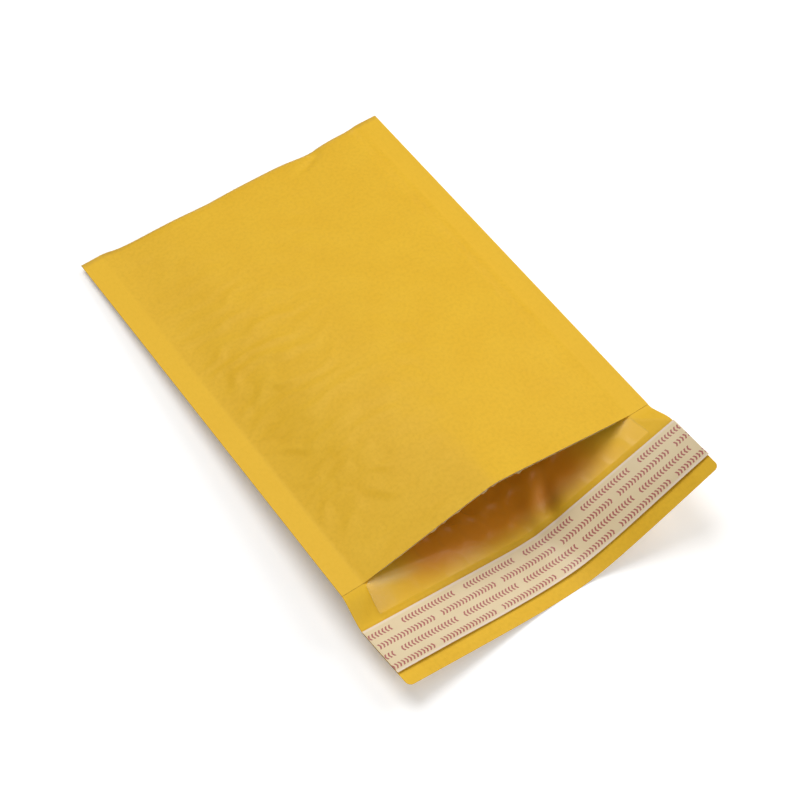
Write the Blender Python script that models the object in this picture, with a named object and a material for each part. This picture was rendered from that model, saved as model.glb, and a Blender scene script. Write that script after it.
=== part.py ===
"""A padded mailing envelope lying open on its back panel.

One kraft sheet is folded across the far end and welded along both sides into a pouch. The back
panel runs on past the mouth as the flap. A bubble lining, folded the same way, lines the pouch,
and a hot-melt band under a peel-off release liner crosses the flap.

X runs across the pouch, -Y from the fold to the flap's end, and Z is up from the table. A place
on a sheet is given by u, measured across it from its middle, and v, measured from the fold.
"""

import bmesh
import bpy
import numpy as np

# Sizes of the flat sheets, in metres
WIDTH = 0.150
PANEL_LENGTH = 0.198
FLAP_LENGTH = 0.040
FLAP_CORNER_RADIUS = 0.003
PAPER_THICKNESS = 0.0003
SEAM_WIDTH = 0.0094

LINING_THICKNESS = 0.0022
LINING_LIP_THICKNESS = 0.0006
LINING_LIP_TAPER = 0.022
LINING_TONGUE = 0.0105
LINING_SIDE_WELD = 0.0030
LINING_FOLD_WELD = 0.0012

LINER_START = 0.0131
LINER_WIDTH = 0.0206
LINER_THICKNESS = 0.00012
LINER_LIFT = 0.0006
LINER_LIFT_WIDTH = 0.004

GLUE_INSET = 0.0035
GLUE_WIDTH = 0.0127
GLUE_THICKNESS = 0.00015
GLUE_END_INSET = 0.001

# Clearances
LAYER_GAP = 0.0003
CLOSED_POCKET_GAP = 0.0005
LINING_WELD_CLEARANCE = 0.0026
LINING_FOLD_CLEARANCE = 0.0007
LINING_MOUTH_SETBACK = 0.0004

# How the opened pouch lies: heights of the side seams and of the ridge above them
MOUTH_LEFT_HEIGHT = 0.0192
MOUTH_RIGHT_HEIGHT = 0.0232
MOUTH_RISE = 0.0143
MOUTH_SWAY = -0.0010
PAD_RAMP = 0.009
PAD_FADE_LENGTH = 0.080
FOLD_NOSE_LENGTH = 0.0055
FOLD_SETBACK = 0.0012
FOLD_SETBACK_LENGTH = 0.060
CONTACT_HALF_WIDTH = 0.003

# Roundness of the bends: a large value is a soft arch, a small one a crease
FOLD_BEND = 0.060
RIDGE_BEND = 0.0031
RIDGE_OFFSET = -0.0038
RIDGE_LENGTH = 0.110
TROUGH_BEND = 0.0052

# How the flap lies
FLAP_TURN_LENGTH = 0.0134
FLAP_LEFT_TURN_HEIGHT = 0.0113
FLAP_LEFT_END_HEIGHT = 0.0121
FLAP_RIGHT_TURN_HEIGHT = 0.0280
FLAP_RIGHT_END_HEIGHT = 0.0326
FLAP_TURN_SWAY = -0.0005
FLAP_SWAY = 0.0002
FLAP_TROUGH_TURN_OFFSET = 0.0016
FLAP_TROUGH_END_OFFSET = 0.0006
FLAP_TROUGH_END_BEND = 0.0145
FLAP_TROUGH_TURN_BEND = 0.0036

# Values that follow from the sizes
HALF_WIDTH = WIDTH / 2
WELD_LINE = HALF_WIDTH - SEAM_WIDTH
TOTAL_LENGTH = PANEL_LENGTH + FLAP_LENGTH
PAD_DEPTH = LAYER_GAP + LINING_THICKNESS + CLOSED_POCKET_GAP / 2
FOLD_HEIGHT = PAPER_THICKNESS + PAD_DEPTH
SEAM_RISE = (MOUTH_LEFT_HEIGHT + MOUTH_RIGHT_HEIGHT) / 2 - FOLD_HEIGHT
PANEL_RUN = (PANEL_LENGTH**2 - SEAM_RISE**2) ** 0.5
FOLD_Y = (PANEL_RUN + FLAP_LENGTH) / 2

# Mesh density
RAMP_STEPS = 4
FLANK_STEPS = 4
CREASE_STEPS = 8
CREASE_HALF_ZONE = 4 * CONTACT_HALF_WIDTH
NOSE_STEPS = 4
BODY_STEPS = 15
TURN_STEPS = 4
FLAP_STEPS = 5
CORNER_STEPS = 4
ARC_SAMPLES = 241
SHARP_ANGLE = np.radians(40)


def mix(first, last, share):
    """The value that lies the given share of the way from first to last."""
    return first + (last - first) * share


def ease(value):
    """A smooth step from 0 to 1 while value goes from 0 to 1."""
    held = np.clip(value, 0.0, 1.0)
    return held * held * (3.0 - 2.0 * held)


def bend(u, middle, softness, reach, flat=0.0):
    """A soft V: 0 within flat of the middle, 1 at -reach and +reach, with nearly straight flanks."""

    def arch(distance):
        outside = np.maximum(distance - flat, 0.0)
        return np.sqrt(outside**2 + softness**2) - softness

    held = np.clip(u, -reach, reach)
    side_reach = np.where(held < middle, reach + middle, reach - middle)
    return arch(np.abs(held - middle)) / arch(side_reach)


def body_share(v):
    """0 at the fold and 1 at the mouth and beyond."""
    return np.clip(v / PANEL_LENGTH, 0.0, 1.0)


def turn_share(v):
    """0 up to the mouth, 1 from the end of the flap's first bend."""
    return ease((v - PANEL_LENGTH) / FLAP_TURN_LENGTH)


def flap_share(v):
    """0 up to the flap's first bend and 1 at its end."""
    return np.clip((v - PANEL_LENGTH - FLAP_TURN_LENGTH) / (FLAP_LENGTH - FLAP_TURN_LENGTH), 0.0, 1.0)


def nose(v):
    """The quarter ellipse of the folded end, from 0 at the fold to 1 behind it."""
    return np.sqrt(1.0 - np.clip(1.0 - v / FOLD_NOSE_LENGTH, 0.0, 1.0) ** 2)


def pad_share(v):
    """How far the padding lifts the paper: fully, fading to nothing where the mouth draws it taut."""
    return 1.0 - ease((v - PANEL_LENGTH + PAD_FADE_LENGTH) / PAD_FADE_LENGTH)


def pad_ramp(u):
    """0 at the weld line and beyond, 1 where the padding has its full depth."""
    return ease((WELD_LINE - np.abs(u)) / PAD_RAMP)


def left_height(v):
    """Height of the left edge: a straight climb to the mouth, a drop, then the flap's edge."""
    turned = mix(mix(FOLD_HEIGHT, MOUTH_LEFT_HEIGHT, body_share(v)), FLAP_LEFT_TURN_HEIGHT, turn_share(v))
    return turned + (FLAP_LEFT_END_HEIGHT - FLAP_LEFT_TURN_HEIGHT) * flap_share(v)


def right_height(v):
    """Height of the right edge: a straight climb to the mouth, then a further one on the flap."""
    turned = mix(mix(FOLD_HEIGHT, MOUTH_RIGHT_HEIGHT, body_share(v)), FLAP_RIGHT_TURN_HEIGHT, turn_share(v))
    return turned + (FLAP_RIGHT_END_HEIGHT - FLAP_RIGHT_TURN_HEIGHT) * flap_share(v)


def trough(u, v):
    """The soft V of the back panel and flap: 0 along the table, 1 at the weld line or flap edge."""
    middle = mix(FLAP_TROUGH_TURN_OFFSET * turn_share(v), FLAP_TROUGH_END_OFFSET, flap_share(v))
    body_bend = mix(FOLD_BEND, TROUGH_BEND, ease(body_share(v)))
    turned_bend = mix(body_bend, FLAP_TROUGH_TURN_BEND, turn_share(v))
    softness = mix(turned_bend, FLAP_TROUGH_END_BEND, ease(flap_share(v)))
    reach = mix(WELD_LINE, HALF_WIDTH, turn_share(v))
    return middle, bend(u, middle, softness, reach, CONTACT_HALF_WIDTH)


def back_hollow(u, v):
    """Height of the nearer edge, and how far the back sheet's upper face hangs below it."""
    middle, valley = trough(u, v)
    edge = np.where(u < middle, left_height(v), right_height(v))
    pad = PAD_DEPTH * pad_share(v)
    return edge, pad * pad_ramp(u) + (edge - PAPER_THICKNESS - pad) * (1.0 - valley)


def floor_height(u, v):
    """Upper face of the back panel and flap."""
    edge, hollow = back_hollow(u, v)
    return edge - hollow * nose(v - PAPER_THICKNESS)


def belly_height(u, v):
    """Lower face of the back panel and flap, which wraps round the fold one paper further out."""
    edge, hollow = back_hollow(u, v)
    return edge - hollow * nose(v) - PAPER_THICKNESS


def front_arch(u, v):
    """How far the front panel's lower face stands above the plane of the two weld lines."""
    share = body_share(v)
    softness = mix(FOLD_BEND, RIDGE_BEND, ease((v - PANEL_LENGTH + RIDGE_LENGTH) / RIDGE_LENGTH))
    ridge = bend(u, RIDGE_OFFSET * share, softness, WELD_LINE)
    return PAD_DEPTH * pad_share(v) * pad_ramp(u) + MOUTH_RISE * share * (1.0 - ridge)


def weld_height(u, v):
    """Height of the plane through the two weld lines, level with the bands outside them."""
    across = (np.clip(u, -WELD_LINE, WELD_LINE) + WELD_LINE) / (2 * WELD_LINE)
    return mix(left_height(v), right_height(v), across)


def ceiling_height(u, v):
    """Lower face of the front panel."""
    return weld_height(u, v) + front_arch(u, v) * nose(v - PAPER_THICKNESS)


def crown_height(u, v):
    """Upper face of the front panel, which wraps round the fold one paper further out."""
    return weld_height(u, v) + front_arch(u, v) * nose(v) + PAPER_THICKNESS


def along(u, v):
    """Y of a place: the pouch climbs as it nears the mouth, and the flap lies along the table.

    The padding takes up some length where it is folded, which draws the fold's middle in.
    """
    setback = FOLD_SETBACK * pad_ramp(u) * (1.0 - ease(v / FOLD_SETBACK_LENGTH))
    return FOLD_Y - PANEL_RUN * body_share(v) - np.maximum(v - PANEL_LENGTH, 0.0) - setback


def flat_run(v):
    """For each v, the u of even samples and the distance in X that the back sheet covers to each.

    The paper doesn't stretch, so a step across it covers the root of its square less that of its
    climb. Between the fold and the mouth the two edges are kept straight.
    """
    samples = np.linspace(-HALF_WIDTH, HALF_WIDTH, ARC_SAMPLES)
    u, rows = np.meshgrid(samples, v)
    steps = np.diff(u, axis=1) ** 2 - np.diff(floor_height(u, rows), axis=1) ** 2
    covered = np.cumsum(np.sqrt(np.maximum(steps, 0.0)), axis=1)
    return samples, np.concatenate([np.zeros((len(v), 1)), covered], axis=1)


def edge_span(v):
    """X distance from the left edge to the right one."""
    mouth_span = flat_run(np.array([PANEL_LENGTH]))[1][0, -1]
    own_span = flat_run(v)[1][:, -1]
    return np.where(v < PANEL_LENGTH, mix(WIDTH, mouth_span, body_share(v)), own_span)


def middle_x(v):
    """X midway between the two edges."""
    turned = mix(MOUTH_SWAY * body_share(v), FLAP_TURN_SWAY, turn_share(v))
    return mix(turned, FLAP_SWAY, flap_share(v))


def across_back(u, v):
    """X of places on the back sheet, on a grid of rows v and columns u."""
    samples, covered = flat_run(v)
    run = np.stack([np.interp(row_u, samples, row) for row_u, row in zip(u, covered)])
    share = run / covered[:, -1:] - 0.5
    return middle_x(v)[:, None] + share * edge_span(v)[:, None]


def across_front(u, v):
    """X of places on the front sheet: the back sheet's at the bands, even steps between them."""
    rows = np.broadcast_to(np.array([-WELD_LINE, WELD_LINE]), (len(v), 2))
    weld_x = across_back(rows, v)
    share = (u + WELD_LINE) / (2 * WELD_LINE)
    inside = mix(weld_x[:, :1], weld_x[:, 1:], share)
    return np.where(np.abs(u) > WELD_LINE, across_back(u, v), inside)


def grid(u, v, height, across):
    """Points of a surface over rows v and columns u, as an array of rows, columns and X Y Z."""
    rows = np.broadcast_to(v[:, None], u.shape)
    return np.stack([across(u, v), along(u, rows), height(u, rows)], axis=-1)


def same_columns(columns, v):
    """The same columns of u on every row."""
    return np.broadcast_to(columns, (len(v), len(columns)))


def sheet_columns(outer, first_inner):
    """Columns of u: the band, the padding's ramp, the flanks and the crease, mirrored about 0."""
    ramp = np.linspace(first_inner, WELD_LINE - PAD_RAMP, RAMP_STEPS + 1)
    flank = np.linspace(WELD_LINE - PAD_RAMP, CREASE_HALF_ZONE, FLANK_STEPS + 1)
    half = np.concatenate([[outer], ramp, flank[1:]])
    crease = np.linspace(-CREASE_HALF_ZONE, CREASE_HALF_ZONE, CREASE_STEPS + 1)
    return np.concatenate([-half, crease[1:-1], half[::-1]])


def nose_rows(first):
    """Rows of v round the folded end, closer where it curves more."""
    turns = np.linspace(0.0, np.pi / 2, NOSE_STEPS + 1)
    return first + (FOLD_NOSE_LENGTH - first + PAPER_THICKNESS) * (1.0 - np.cos(turns))


def shell_of(name, points, faces, material):
    """A smooth-shaded object from points and faces, its normals facing out."""
    mesh = bpy.data.meshes.new(name)
    mesh.from_pydata(points.tolist(), [], faces)
    shape = bmesh.new()
    shape.from_mesh(mesh)
    bmesh.ops.recalc_face_normals(shape, faces=shape.faces)
    bmesh.ops.triangulate(shape, faces=shape.faces, quad_method="FIXED", ngon_method="EAR_CLIP")
    shape.to_mesh(mesh)
    shape.free()
    mesh.shade_smooth()
    mesh.set_sharp_from_angle(angle=SHARP_ANGLE)
    mesh.materials.append(material)
    piece = bpy.data.objects.new(name, mesh)
    bpy.context.scene.collection.objects.link(piece)
    return piece


def quads(ids):
    """The four corners of each cell of a grid of point numbers."""
    corners = [ids[:-1, :-1], ids[:-1, 1:], ids[1:, 1:], ids[1:, :-1]]
    return np.stack(corners, axis=-1).reshape(-1, 4).tolist()


def folded_web(name, low, floor, ceiling, top, band, press, material):
    """A web folded into a pouch with a tongue, as one closed body.

    low and floor are the lower and upper faces of the back layer, over every row. ceiling and top
    are those of the front layer, over the rows up to the mouth. The layers are one solid over the
    first press rows and over band columns at each side, and the hollow lies inside these.
    """
    row_count, column_count = low.shape[:2]
    mouth = top.shape[0] - 1
    last = column_count - 1 - band
    low_ids = np.arange(row_count * column_count).reshape(row_count, column_count)
    top_ids = low_ids.max() + 1 + np.arange(top[..., 0].size).reshape(mouth + 1, column_count)

    used = np.zeros((row_count, column_count), bool)
    used[press:, band : last + 1] = True
    used[mouth:, :] = True
    floor_ids = np.full(used.shape, -1)
    floor_ids[used] = top_ids.max() + 1 + np.arange(used.sum())

    open_cells = np.zeros((mouth + 1, column_count), bool)
    open_cells[press + 1 :, band + 1 : last] = True
    ceiling_ids = floor_ids[: mouth + 1].copy()
    ceiling_ids[open_cells] = floor_ids.max() + 1 + np.arange(open_cells.sum())

    # Where the two layers meet, their shared point lies midway between them.
    joined = used[: mouth + 1] & ~open_cells
    joined[mouth, : band] = False
    joined[mouth, last + 1 :] = False
    seated = floor.copy()
    seated[: mouth + 1][joined] = (floor[: mouth + 1][joined] + ceiling[joined]) / 2
    points = np.concatenate([low.reshape(-1, 3), top.reshape(-1, 3), seated[used], ceiling[open_cells]])

    faces = quads(low_ids) + quads(top_ids)
    faces += quads(floor_ids[press : mouth + 1, band : last + 1])
    faces += quads(ceiling_ids[press:, band : last + 1])
    faces += quads(floor_ids[mouth:])
    faces += quads(np.stack([top_ids[mouth], ceiling_ids[mouth]]))
    faces += quads(np.stack([low_ids[0], top_ids[0]]))
    faces += quads(np.stack([low_ids[-1], floor_ids[-1]]))
    for side in (0, column_count - 1):
        faces += quads(np.stack([low_ids[:mouth, side], top_ids[:mouth, side]]))
        corner = [low_ids[mouth - 1, side], low_ids[mouth, side], floor_ids[mouth, side]]
        faces.append([int(point) for point in corner + [top_ids[mouth, side], top_ids[mouth - 1, side]]])
        faces += quads(np.stack([low_ids[mouth:, side], floor_ids[mouth:, side]]))
    return shell_of(name, points, faces, material)


def laid_strip(name, low, top, material):
    """A strip between a lower and an upper grid of points, closed round its rim."""
    row_count, column_count = low.shape[:2]
    low_ids = np.arange(row_count * column_count).reshape(row_count, column_count)
    top_ids = low_ids + low_ids.size
    faces = quads(low_ids) + quads(top_ids)
    for rim in (np.s_[0, :], np.s_[-1, :], np.s_[:, 0], np.s_[:, -1]):
        faces += quads(np.stack([low_ids[rim], top_ids[rim]]))
    return shell_of(name, np.concatenate([low.reshape(-1, 3), top.reshape(-1, 3)]), faces, material)


def surface_material(name, colour, roughness):
    """A Principled surface with the given sRGB colour and roughness."""
    material = bpy.data.materials.new(name)
    material.use_nodes = True
    shader = material.node_tree.nodes["Principled BSDF"]
    linear = [((channel + 0.055) / 1.055) ** 2.4 for channel in colour]
    shader.inputs["Base Color"].default_value = (*linear, 1.0)
    shader.inputs["Roughness"].default_value = roughness
    shader.inputs["Metallic"].default_value = 0.0
    return material


def make_kraft_outer():
    """The one paper sheet: front panel, fold, back panel, pressed side bands and flap."""
    body_rows = np.linspace(nose_rows(PAPER_THICKNESS)[-1], PANEL_LENGTH, BODY_STEPS + 1)
    front_rows = np.concatenate([[0.0], nose_rows(PAPER_THICKNESS), body_rows[1:]])
    turn_rows = PANEL_LENGTH + np.linspace(0.0, FLAP_TURN_LENGTH, TURN_STEPS + 1)
    flap_rows = np.linspace(turn_rows[-1], TOTAL_LENGTH - FLAP_CORNER_RADIUS, FLAP_STEPS + 1)
    corner_turns = np.linspace(0.0, np.pi / 2, CORNER_STEPS + 1)
    corner_rows = TOTAL_LENGTH - FLAP_CORNER_RADIUS * (1.0 - np.sin(corner_turns))
    rows = np.concatenate([front_rows, turn_rows[1:], flap_rows[1:], corner_rows[1:]])

    columns = sheet_columns(HALF_WIDTH, WELD_LINE)
    u = same_columns(columns, rows).copy()
    trim = FLAP_CORNER_RADIUS * (1.0 - np.cos(corner_turns))
    u[-len(trim) :, 0] += trim
    u[-len(trim) :, -1] -= trim
    front_u = u[: len(front_rows)]

    low = grid(u, rows, belly_height, across_back)
    floor = grid(u, rows, floor_height, across_back)
    ceiling = grid(front_u, front_rows, ceiling_height, across_front)
    top = grid(front_u, front_rows, crown_height, across_front)
    kraft = surface_material("golden_kraft_paper", (0.89, 0.71, 0.20), 0.62)
    return folded_web("kraft_outer", low, floor, ceiling, top, 1, 1, kraft)


def make_bubble_lining():
    """The folded bubble lining: both layers follow the paper, and its hollow is the pouch's."""
    edge = WELD_LINE - LINING_WELD_CLEARANCE
    columns = sheet_columns(edge, edge - LINING_SIDE_WELD)
    start = PAPER_THICKNESS + LINING_FOLD_CLEARANCE
    mouth = PANEL_LENGTH - LINING_MOUTH_SETBACK
    nose_part = nose_rows(start + LINING_FOLD_WELD)
    front_rows = np.concatenate([[start], nose_part, np.linspace(nose_part[-1], mouth, BODY_STEPS + 1)[1:]])
    tongue_rows = np.linspace(mouth, PANEL_LENGTH + LINING_TONGUE, TURN_STEPS + 1)
    rows = np.concatenate([front_rows, tongue_rows[1:]])
    u = same_columns(columns, rows)
    front_u = u[: len(front_rows)]

    low = grid(u, rows, floor_height, across_back)
    low[..., 2] += LAYER_GAP
    top = grid(front_u, front_rows, ceiling_height, across_front)
    top[..., 2] -= LAYER_GAP

    # Each layer keeps its depth, but no more than half of what the closed pocket leaves.
    to_end = (rows[-1] - rows) / LINING_LIP_TAPER
    layer = mix(LINING_LIP_THICKNESS, LINING_THICKNESS, ease(to_end))[:, None]
    room = (top[..., 2] - low[: len(front_rows), :, 2] - CLOSED_POCKET_GAP) / 2
    side = ease((edge - np.abs(u)) / PAD_RAMP)
    depth = mix(LINING_LIP_THICKNESS, layer, side)
    depth[: len(front_rows)] = np.minimum(depth[: len(front_rows)], room)
    floor = low.copy()
    floor[..., 2] += depth
    ceiling = top.copy()
    ceiling[..., 2] -= depth[: len(front_rows)]
    film = surface_material("clear_bubble_film", (0.80, 0.62, 0.25), 0.25)
    return folded_web("bubble_lining", low, floor, ceiling, top, 1, 1, film)


def strip_between(first_v, last_v, end_inset, seat, edge_lift, thickness):
    """Lower and upper grids of a strip that lies seat above the flap's paper.

    Towards last_v its edge curls up by edge_lift.
    """
    edge = HALF_WIDTH - end_inset
    columns = sheet_columns(edge, WELD_LINE)
    rows = np.linspace(first_v, last_v, FLAP_STEPS + 1)
    low = grid(same_columns(columns, rows), rows, floor_height, across_back)
    curl = edge_lift * ease((rows - last_v + LINER_LIFT_WIDTH) / LINER_LIFT_WIDTH)
    low[..., 2] += seat + curl[:, None]
    top = low.copy()
    top[..., 2] += thickness
    return low, top


def make_adhesive_strip():
    """The hot-melt band, which is covered until the liner comes off."""
    first = PANEL_LENGTH + LINER_START + GLUE_INSET
    last = first + GLUE_WIDTH
    low, top = strip_between(first, last, GLUE_END_INSET, LAYER_GAP, 0.0, GLUE_THICKNESS)
    glue = surface_material("hot_melt_adhesive", (0.90, 0.86, 0.74), 0.3)
    return laid_strip("adhesive_strip", low, top, glue)


def make_release_liner():
    """The silicone paper strip over the adhesive, its outer edge a little raised for the finger."""
    first = PANEL_LENGTH + LINER_START
    last = first + LINER_WIDTH
    seat = 2 * LAYER_GAP + GLUE_THICKNESS
    low, top = strip_between(first, last, 0.0, seat, LINER_LIFT, LINER_THICKNESS)
    paper = surface_material("cream_release_paper", (0.87, 0.80, 0.65), 0.45)
    return laid_strip("release_liner", low, top, paper)


def main():
    """Clears the scene and makes the envelope's four pieces."""
    for old in list(bpy.data.objects):
        bpy.data.objects.remove(old)
    make_kraft_outer()
    make_bubble_lining()
    make_adhesive_strip()
    make_release_liner()


main()
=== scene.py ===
"""The looks of a padded mailing envelope that lies on its back with its mouth held open.

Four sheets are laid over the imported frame: the golden kraft sheet, its bubble lining, the
adhesive band and the release liner. A place on a sheet is given by u, measured across it from
its middle, and v, measured from the folded end, both in metres on the flat sheet.
"""

from __future__ import annotations

import logging
from dataclasses import dataclass, field
from enum import Enum
from typing import Any, Callable

import bmesh
import bpy
import numpy as np
from mathutils import Matrix, Vector


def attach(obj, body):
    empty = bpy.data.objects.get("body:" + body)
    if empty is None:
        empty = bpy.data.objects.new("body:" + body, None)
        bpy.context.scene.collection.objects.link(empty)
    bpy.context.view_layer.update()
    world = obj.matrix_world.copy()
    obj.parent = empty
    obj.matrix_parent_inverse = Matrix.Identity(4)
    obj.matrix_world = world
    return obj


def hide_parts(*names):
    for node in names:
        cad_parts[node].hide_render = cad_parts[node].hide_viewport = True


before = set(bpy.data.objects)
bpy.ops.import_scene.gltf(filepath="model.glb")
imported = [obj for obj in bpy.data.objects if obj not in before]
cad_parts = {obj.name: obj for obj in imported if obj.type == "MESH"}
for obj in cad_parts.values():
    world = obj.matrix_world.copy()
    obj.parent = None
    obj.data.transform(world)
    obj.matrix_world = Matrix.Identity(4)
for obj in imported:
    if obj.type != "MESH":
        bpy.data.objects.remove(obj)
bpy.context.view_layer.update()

ROOT = "root"
MM = 0.001
FLAT_MAP = "flat_mm"
# Point attribute that holds the painted highlights of the bubble film.
SHEEN_PATCHES = "painted_film_sheen"
Array = np.ndarray
Field = Callable[[Array, Array], Array]
log = logging.getLogger("padded_envelope")


# ---------------------------------------------------------------------------------------------
# Shape functions
# ---------------------------------------------------------------------------------------------


def mix(first: Any, last: Any, share: Any) -> Any:
    """The value that lies the given share of the way from first to last."""
    return first + (last - first) * share


def ease(value: Array) -> Array:
    """A smooth step: 3 t squared less 2 t cubed, with t held between 0 and 1."""
    held = np.clip(value, 0.0, 1.0)
    return held * held * (3.0 - 2.0 * held)


def bend(u: Array, middle: Array, softness: Array, reach: Array, flat: float = 0.0) -> Array:
    """A soft V across a sheet: 0 within flat of the middle, 1 at -reach and +reach.

    Each side is the arch sqrt(d squared + softness squared) less softness of the distance d past
    the flat, over what that arch is at the reach.

    Args:
        u: Places across the sheet.
        middle: Where the bend's lowest line lies.
        softness: Radius of the bend; the flanks are nearly straight beyond it.
        reach: Half the width that the bend spans.
        flat: Half the width of its flat middle.

    Returns:
        The share of the full height at each place.
    """

    def arch(distance: Array) -> Array:
        outside = np.maximum(distance - flat, 0.0)
        return np.sqrt(outside**2 + softness**2) - softness

    held = np.clip(u, -reach, reach)
    side_reach = np.where(held < middle, reach + middle, reach - middle)
    return arch(np.abs(held - middle)) / arch(side_reach)


def ripple(u: Array, v: Array, size: float, seed: int, stretch: float = 1.0) -> Array:
    """A gentle unevenness: a sum of nine plane waves in seeded directions, about -1 to 1.

    Args:
        u: Places across the sheet.
        v: Places along the sheet.
        size: Middle wavelength in metres.
        seed: Picks the directions, lengths and phases of the waves.
        stretch: How many times longer the waves are along the sheet than across it.

    Returns:
        The height of the unevenness at each place.
    """
    draw = np.random.default_rng(seed)
    turn, phase = draw.uniform(0.0, 2.0 * np.pi, (2, 9))
    length = size * draw.uniform(0.7, 1.5, 9)
    run = u[..., None] * np.cos(turn) + v[..., None] * np.sin(turn) / stretch
    return np.sin(2.0 * np.pi * run / length + phase).sum(axis=-1) / 4.5


def bubble_dome(u: Array, v: Array, pitch: float, radius: float) -> Array:
    """Height of a staggered field of round domes: 1 at the top of a bubble, 0 between bubbles.

    The centres are two rectangular lattices, pitch by root 3 pitch, set half a step apart. The
    profile is the root of 1 less the fourth power of the distance over the radius.

    Args:
        u: Places across the sheet.
        v: Places along the sheet.
        pitch: Distance between neighbouring centres.
        radius: Radius of a bubble's foot.

    Returns:
        The share of a bubble's height at each place.
    """
    row = pitch * np.sqrt(3.0)

    def to_nearest(shift: float) -> Array:
        across = np.mod(u + shift * pitch, pitch) - pitch / 2
        along = np.mod(v + shift * row, row) - row / 2
        return np.hypot(across, along)

    distance = np.minimum(to_nearest(0.0), to_nearest(0.5)) / radius
    return np.sqrt(1.0 - np.clip(distance, 0.0, 1.0) ** 4)


def row_wrinkles(u: Array, v: Array, pitch: float) -> Array:
    """Short irregular wrinkles across the sheet, one to a row of bubbles, about -1 to 1.

    A sine along the sheet with a slowly wandering phase, times a patchy share of 0 to 1.

    Args:
        u: Places across the sheet.
        v: Places along the sheet.
        pitch: Distance from one wrinkle to the next.

    Returns:
        The height of the wrinkles at each place.
    """
    wander = 0.45 * ripple(u, v, 34.0 * MM, 3) + 0.2 * ripple(u, v, 15.0 * MM, 8)
    patchy = 0.35 + 0.65 * ease(0.6 + 0.8 * ripple(u, v, 24.0 * MM, 14, 0.45))
    wave = np.sin(2.0 * np.pi * (v / pitch + wander))
    return patchy * (wave + 0.35 * np.sin(4.0 * np.pi * (v / pitch + wander) + 0.9))


@dataclass(frozen=True)
class Crease:
    """A short crease or dent in a sheet.

    Attributes:
        u: Place of its middle across the sheet.
        v: Place of its middle along the sheet.
        half_length: Distance along it at which it has nearly run out.
        half_width: The same across it.
        turn: Degrees from straight across the sheet, towards the mouth on the right.
        depth: How far it sinks in; less than 0 for a fold that stands up.
    """

    u: float
    v: float
    half_length: float
    half_width: float
    turn: float
    depth: float

    def sink(self, u: Array, v: Array) -> Array:
        """Depth at each place: a bell curve of the distance along and across the crease."""
        turn = np.radians(self.turn)
        along = (u - self.u) * np.cos(turn) + (v - self.v) * np.sin(turn)
        across = (v - self.v) * np.cos(turn) - (u - self.u) * np.sin(turn)
        return self.depth * np.exp(-((along / self.half_length) ** 2) - (across / self.half_width) ** 2)


@dataclass(frozen=True)
class Cut:
    """Sizes of the flat sheets and the clearances between them, in metres."""

    width: float = 150.0 * MM
    panel_length: float = 198.0 * MM
    flap_length: float = 40.0 * MM
    corner_radius: float = 2.2 * MM
    paper: float = 0.2 * MM
    seam_width: float = 9.4 * MM
    lining: float = 2.2 * MM
    layer_gap: float = 0.3 * MM
    pocket_gap: float = 0.5 * MM

    @property
    def half_width(self) -> float:
        """Distance from the middle line to either side edge."""
        return self.width / 2

    @property
    def weld_line(self) -> float:
        """Distance from the middle line to the inner edge of a side seam."""
        return self.half_width - self.seam_width

    @property
    def length(self) -> float:
        """Length from the folded end to the flap's end."""
        return self.panel_length + self.flap_length

    @property
    def pad_depth(self) -> float:
        """How far the closed pocket's lining holds the paper off the middle plane."""
        return self.layer_gap + self.lining + self.pocket_gap / 2


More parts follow.
